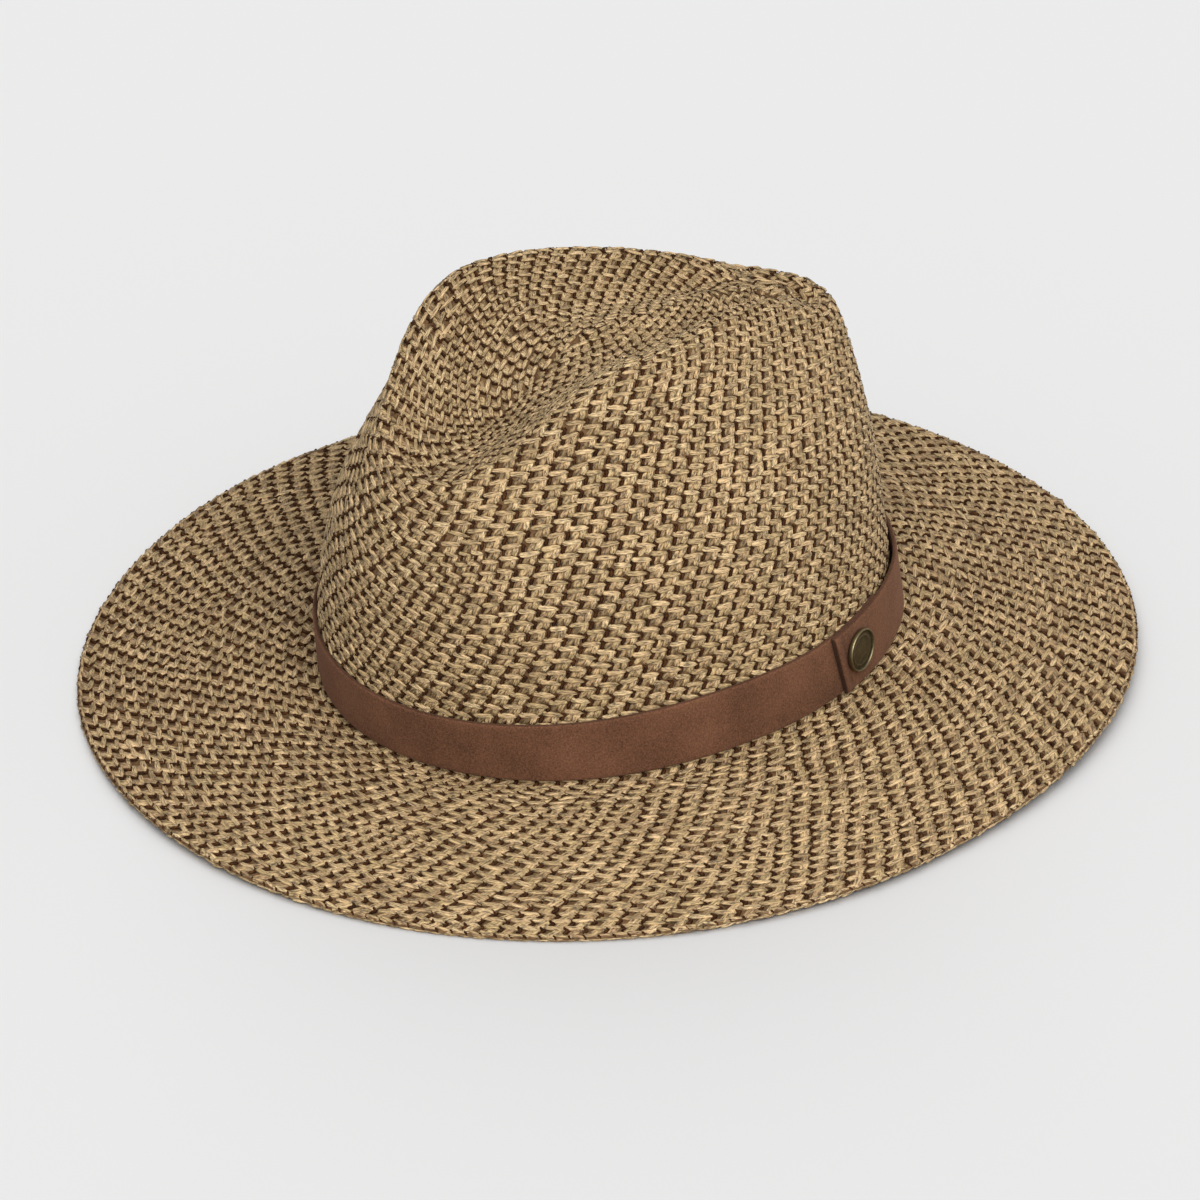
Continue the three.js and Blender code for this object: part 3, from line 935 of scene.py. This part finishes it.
# the painted shade at the fold and along the band's edges darkens the suede, down to a quarter of its tone
fold_and_edge_shade = nodes.new("ShaderNodeAttribute")
fold_and_edge_shade.attribute_name = "fold_and_edge_shade"
shade_darkening = nodes.new("ShaderNodeMapRange")
shade_darkening.inputs["To Min"].default_value = 1.0
shade_darkening.inputs["To Max"].default_value = 0.25
shaded_suede = nodes.new("ShaderNodeVectorMath")
shaded_suede.operation = "SCALE"
nap_bump = nodes.new("ShaderNodeBump")
nap_bump.inputs["Strength"].default_value = 0.5
nap_bump.inputs["Distance"].default_value = 0.0003
links.new(place.outputs["Object"], brushing.inputs["Vector"])
links.new(place.outputs["Object"], nap.inputs["Vector"])
links.new(brushing.outputs["Fac"], both.inputs["A"])
links.new(nap.outputs["Fac"], both.inputs["B"])
links.new(both.outputs["Result"], suede_tone.inputs["Fac"])
links.new(fold_and_edge_shade.outputs["Fac"], shade_darkening.inputs["Value"])
links.new(suede_tone.outputs["Color"], shaded_suede.inputs[0])
links.new(shade_darkening.outputs["Result"], shaded_suede.inputs["Scale"])
links.new(shaded_suede.outputs[0], bsdf.inputs["Base Color"])
links.new(nap.outputs["Fac"], nap_bump.inputs["Height"])
links.new(nap_bump.outputs["Normal"], bsdf.inputs["Normal"])
suede_band.data.materials.append(suede)
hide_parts("hat_band")
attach(suede_band, "root")


# Stud: a pressed brass button with a thin raised rim round a darkened face. It sits on the outer layer of
# the band, where the two ends overlap, and is turned to face square to the band there.
stud_turn = math.radians(112.85)
stud_up = 0.6
stud_facets = 64
# radius and height of the turned profile, from the middle of the back round to the middle of the face,
# and how dark the old finish is there
stud_profile = (
    (7.3, 0.0, 0.8), (7.6, 0.12, 0.6), (7.7, 0.4, 0.45), (7.7, 1.4, 0.3), (7.62, 1.65, 0.15),
    (7.45, 1.78, 0.0), (7.3, 1.8, 0.0), (7.12, 1.74, 0.1), (7.02, 1.55, 0.5), (6.92, 1.3, 0.9),
    (6.7, 1.22, 1.0),
    (5.6, 1.22, 0.75), (5.4, 1.3, 0.45), (5.2, 1.31, 0.45), (5.0, 1.24, 0.8), (3.5, 1.34, 0.7),
    (1.8, 1.42, 0.6),
)
# the middle of the face stands this high above the stud's back
stud_middle = 1.45
stud_face = band_clear + 2 * band_thick + band_gap
near = 0.02
foot = band_points(np.array(stud_turn), stud_up, stud_face)
upward = band_points(np.array(stud_turn), stud_up + near, stud_face) - foot
sideways = band_points(np.array(stud_turn + near), stud_up, stud_face)
sideways = sideways - band_points(np.array(stud_turn - near), stud_up, stud_face)
upward /= np.linalg.norm(upward)
outward = np.cross(sideways, upward)
outward /= np.linalg.norm(outward)
across = np.cross(upward, outward)
stud_points = [foot + outward * band_gap]
stud_dark = [0.8]
angles = np.arange(stud_facets) * 2 * np.pi / stud_facets
for radius, height, dark in stud_profile:
    for angle in angles:
        flat = across * math.cos(angle) + upward * math.sin(angle)
        stud_points.append(foot + outward * (band_gap + height) + flat * radius)
        stud_dark.append(dark)
stud_points.append(foot + outward * (band_gap + stud_middle))
stud_dark.append(0.7)
stud_faces = []
for k in range(stud_facets):
    j = (k + 1) % stud_facets
    stud_faces.append((0, 1 + j, 1 + k))
    for r in range(len(stud_profile) - 1):
        a = 1 + r * stud_facets
        stud_faces.append((a + k, a + j, a + stud_facets + j, a + stud_facets + k))
    a = 1 + (len(stud_profile) - 1) * stud_facets
    stud_faces.append((a + k, a + j, len(stud_points) - 1))
brass_stud = plain_object("brass_stud", stud_points, stud_faces)
kept = brass_stud.data.attributes.new("dark", "FLOAT", "POINT")
kept.data.foreach_set("value", np.array(stud_dark, np.float32))

brass = bpy.data.materials.new("antique_brass")
brass.use_nodes = True
nodes = brass.node_tree.nodes
links = brass.node_tree.links
bsdf = nodes["Principled BSDF"]
bsdf.inputs["Metallic"].default_value = 1.0
old = nodes.new("ShaderNodeAttribute")
old.attribute_name = "dark"
place = nodes.new("ShaderNodeTexCoord")
rub = nodes.new("ShaderNodeTexNoise")
rub.inputs["Scale"].default_value = 650.0
rub.inputs["Detail"].default_value = 4.0
rub_small = nodes.new("ShaderNodeMath")
rub_small.operation = "MULTIPLY_ADD"
rub_small.inputs[1].default_value = 0.7
rub_small.inputs[2].default_value = -0.35
wear = nodes.new("ShaderNodeMath")
wear.operation = "ADD"
wear.use_clamp = True
brass_tone = nodes.new("ShaderNodeValToRGB")
brass_tone.color_ramp.elements[0].position = 0.0
brass_tone.color_ramp.elements[0].color = (0.28, 0.225, 0.12, 1.0)
brass_tone.color_ramp.elements[1].position = 1.0
brass_tone.color_ramp.elements[1].color = (0.055, 0.046, 0.026, 1.0)
brass_rough = nodes.new("ShaderNodeMapRange")
brass_rough.inputs["To Min"].default_value = 0.35
brass_rough.inputs["To Max"].default_value = 0.55
links.new(place.outputs["Object"], rub.inputs["Vector"])
links.new(rub.outputs["Fac"], rub_small.inputs[0])
links.new(old.outputs["Fac"], wear.inputs[0])
links.new(rub_small.outputs[0], wear.inputs[1])
links.new(wear.outputs[0], brass_tone.inputs["Fac"])
links.new(wear.outputs[0], brass_rough.inputs["Value"])
links.new(brass_tone.outputs["Color"], bsdf.inputs["Base Color"])
links.new(brass_rough.outputs["Result"], bsdf.inputs["Roughness"])
brass_stud.data.materials.append(brass)
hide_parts("button")
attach(brass_stud, "root")
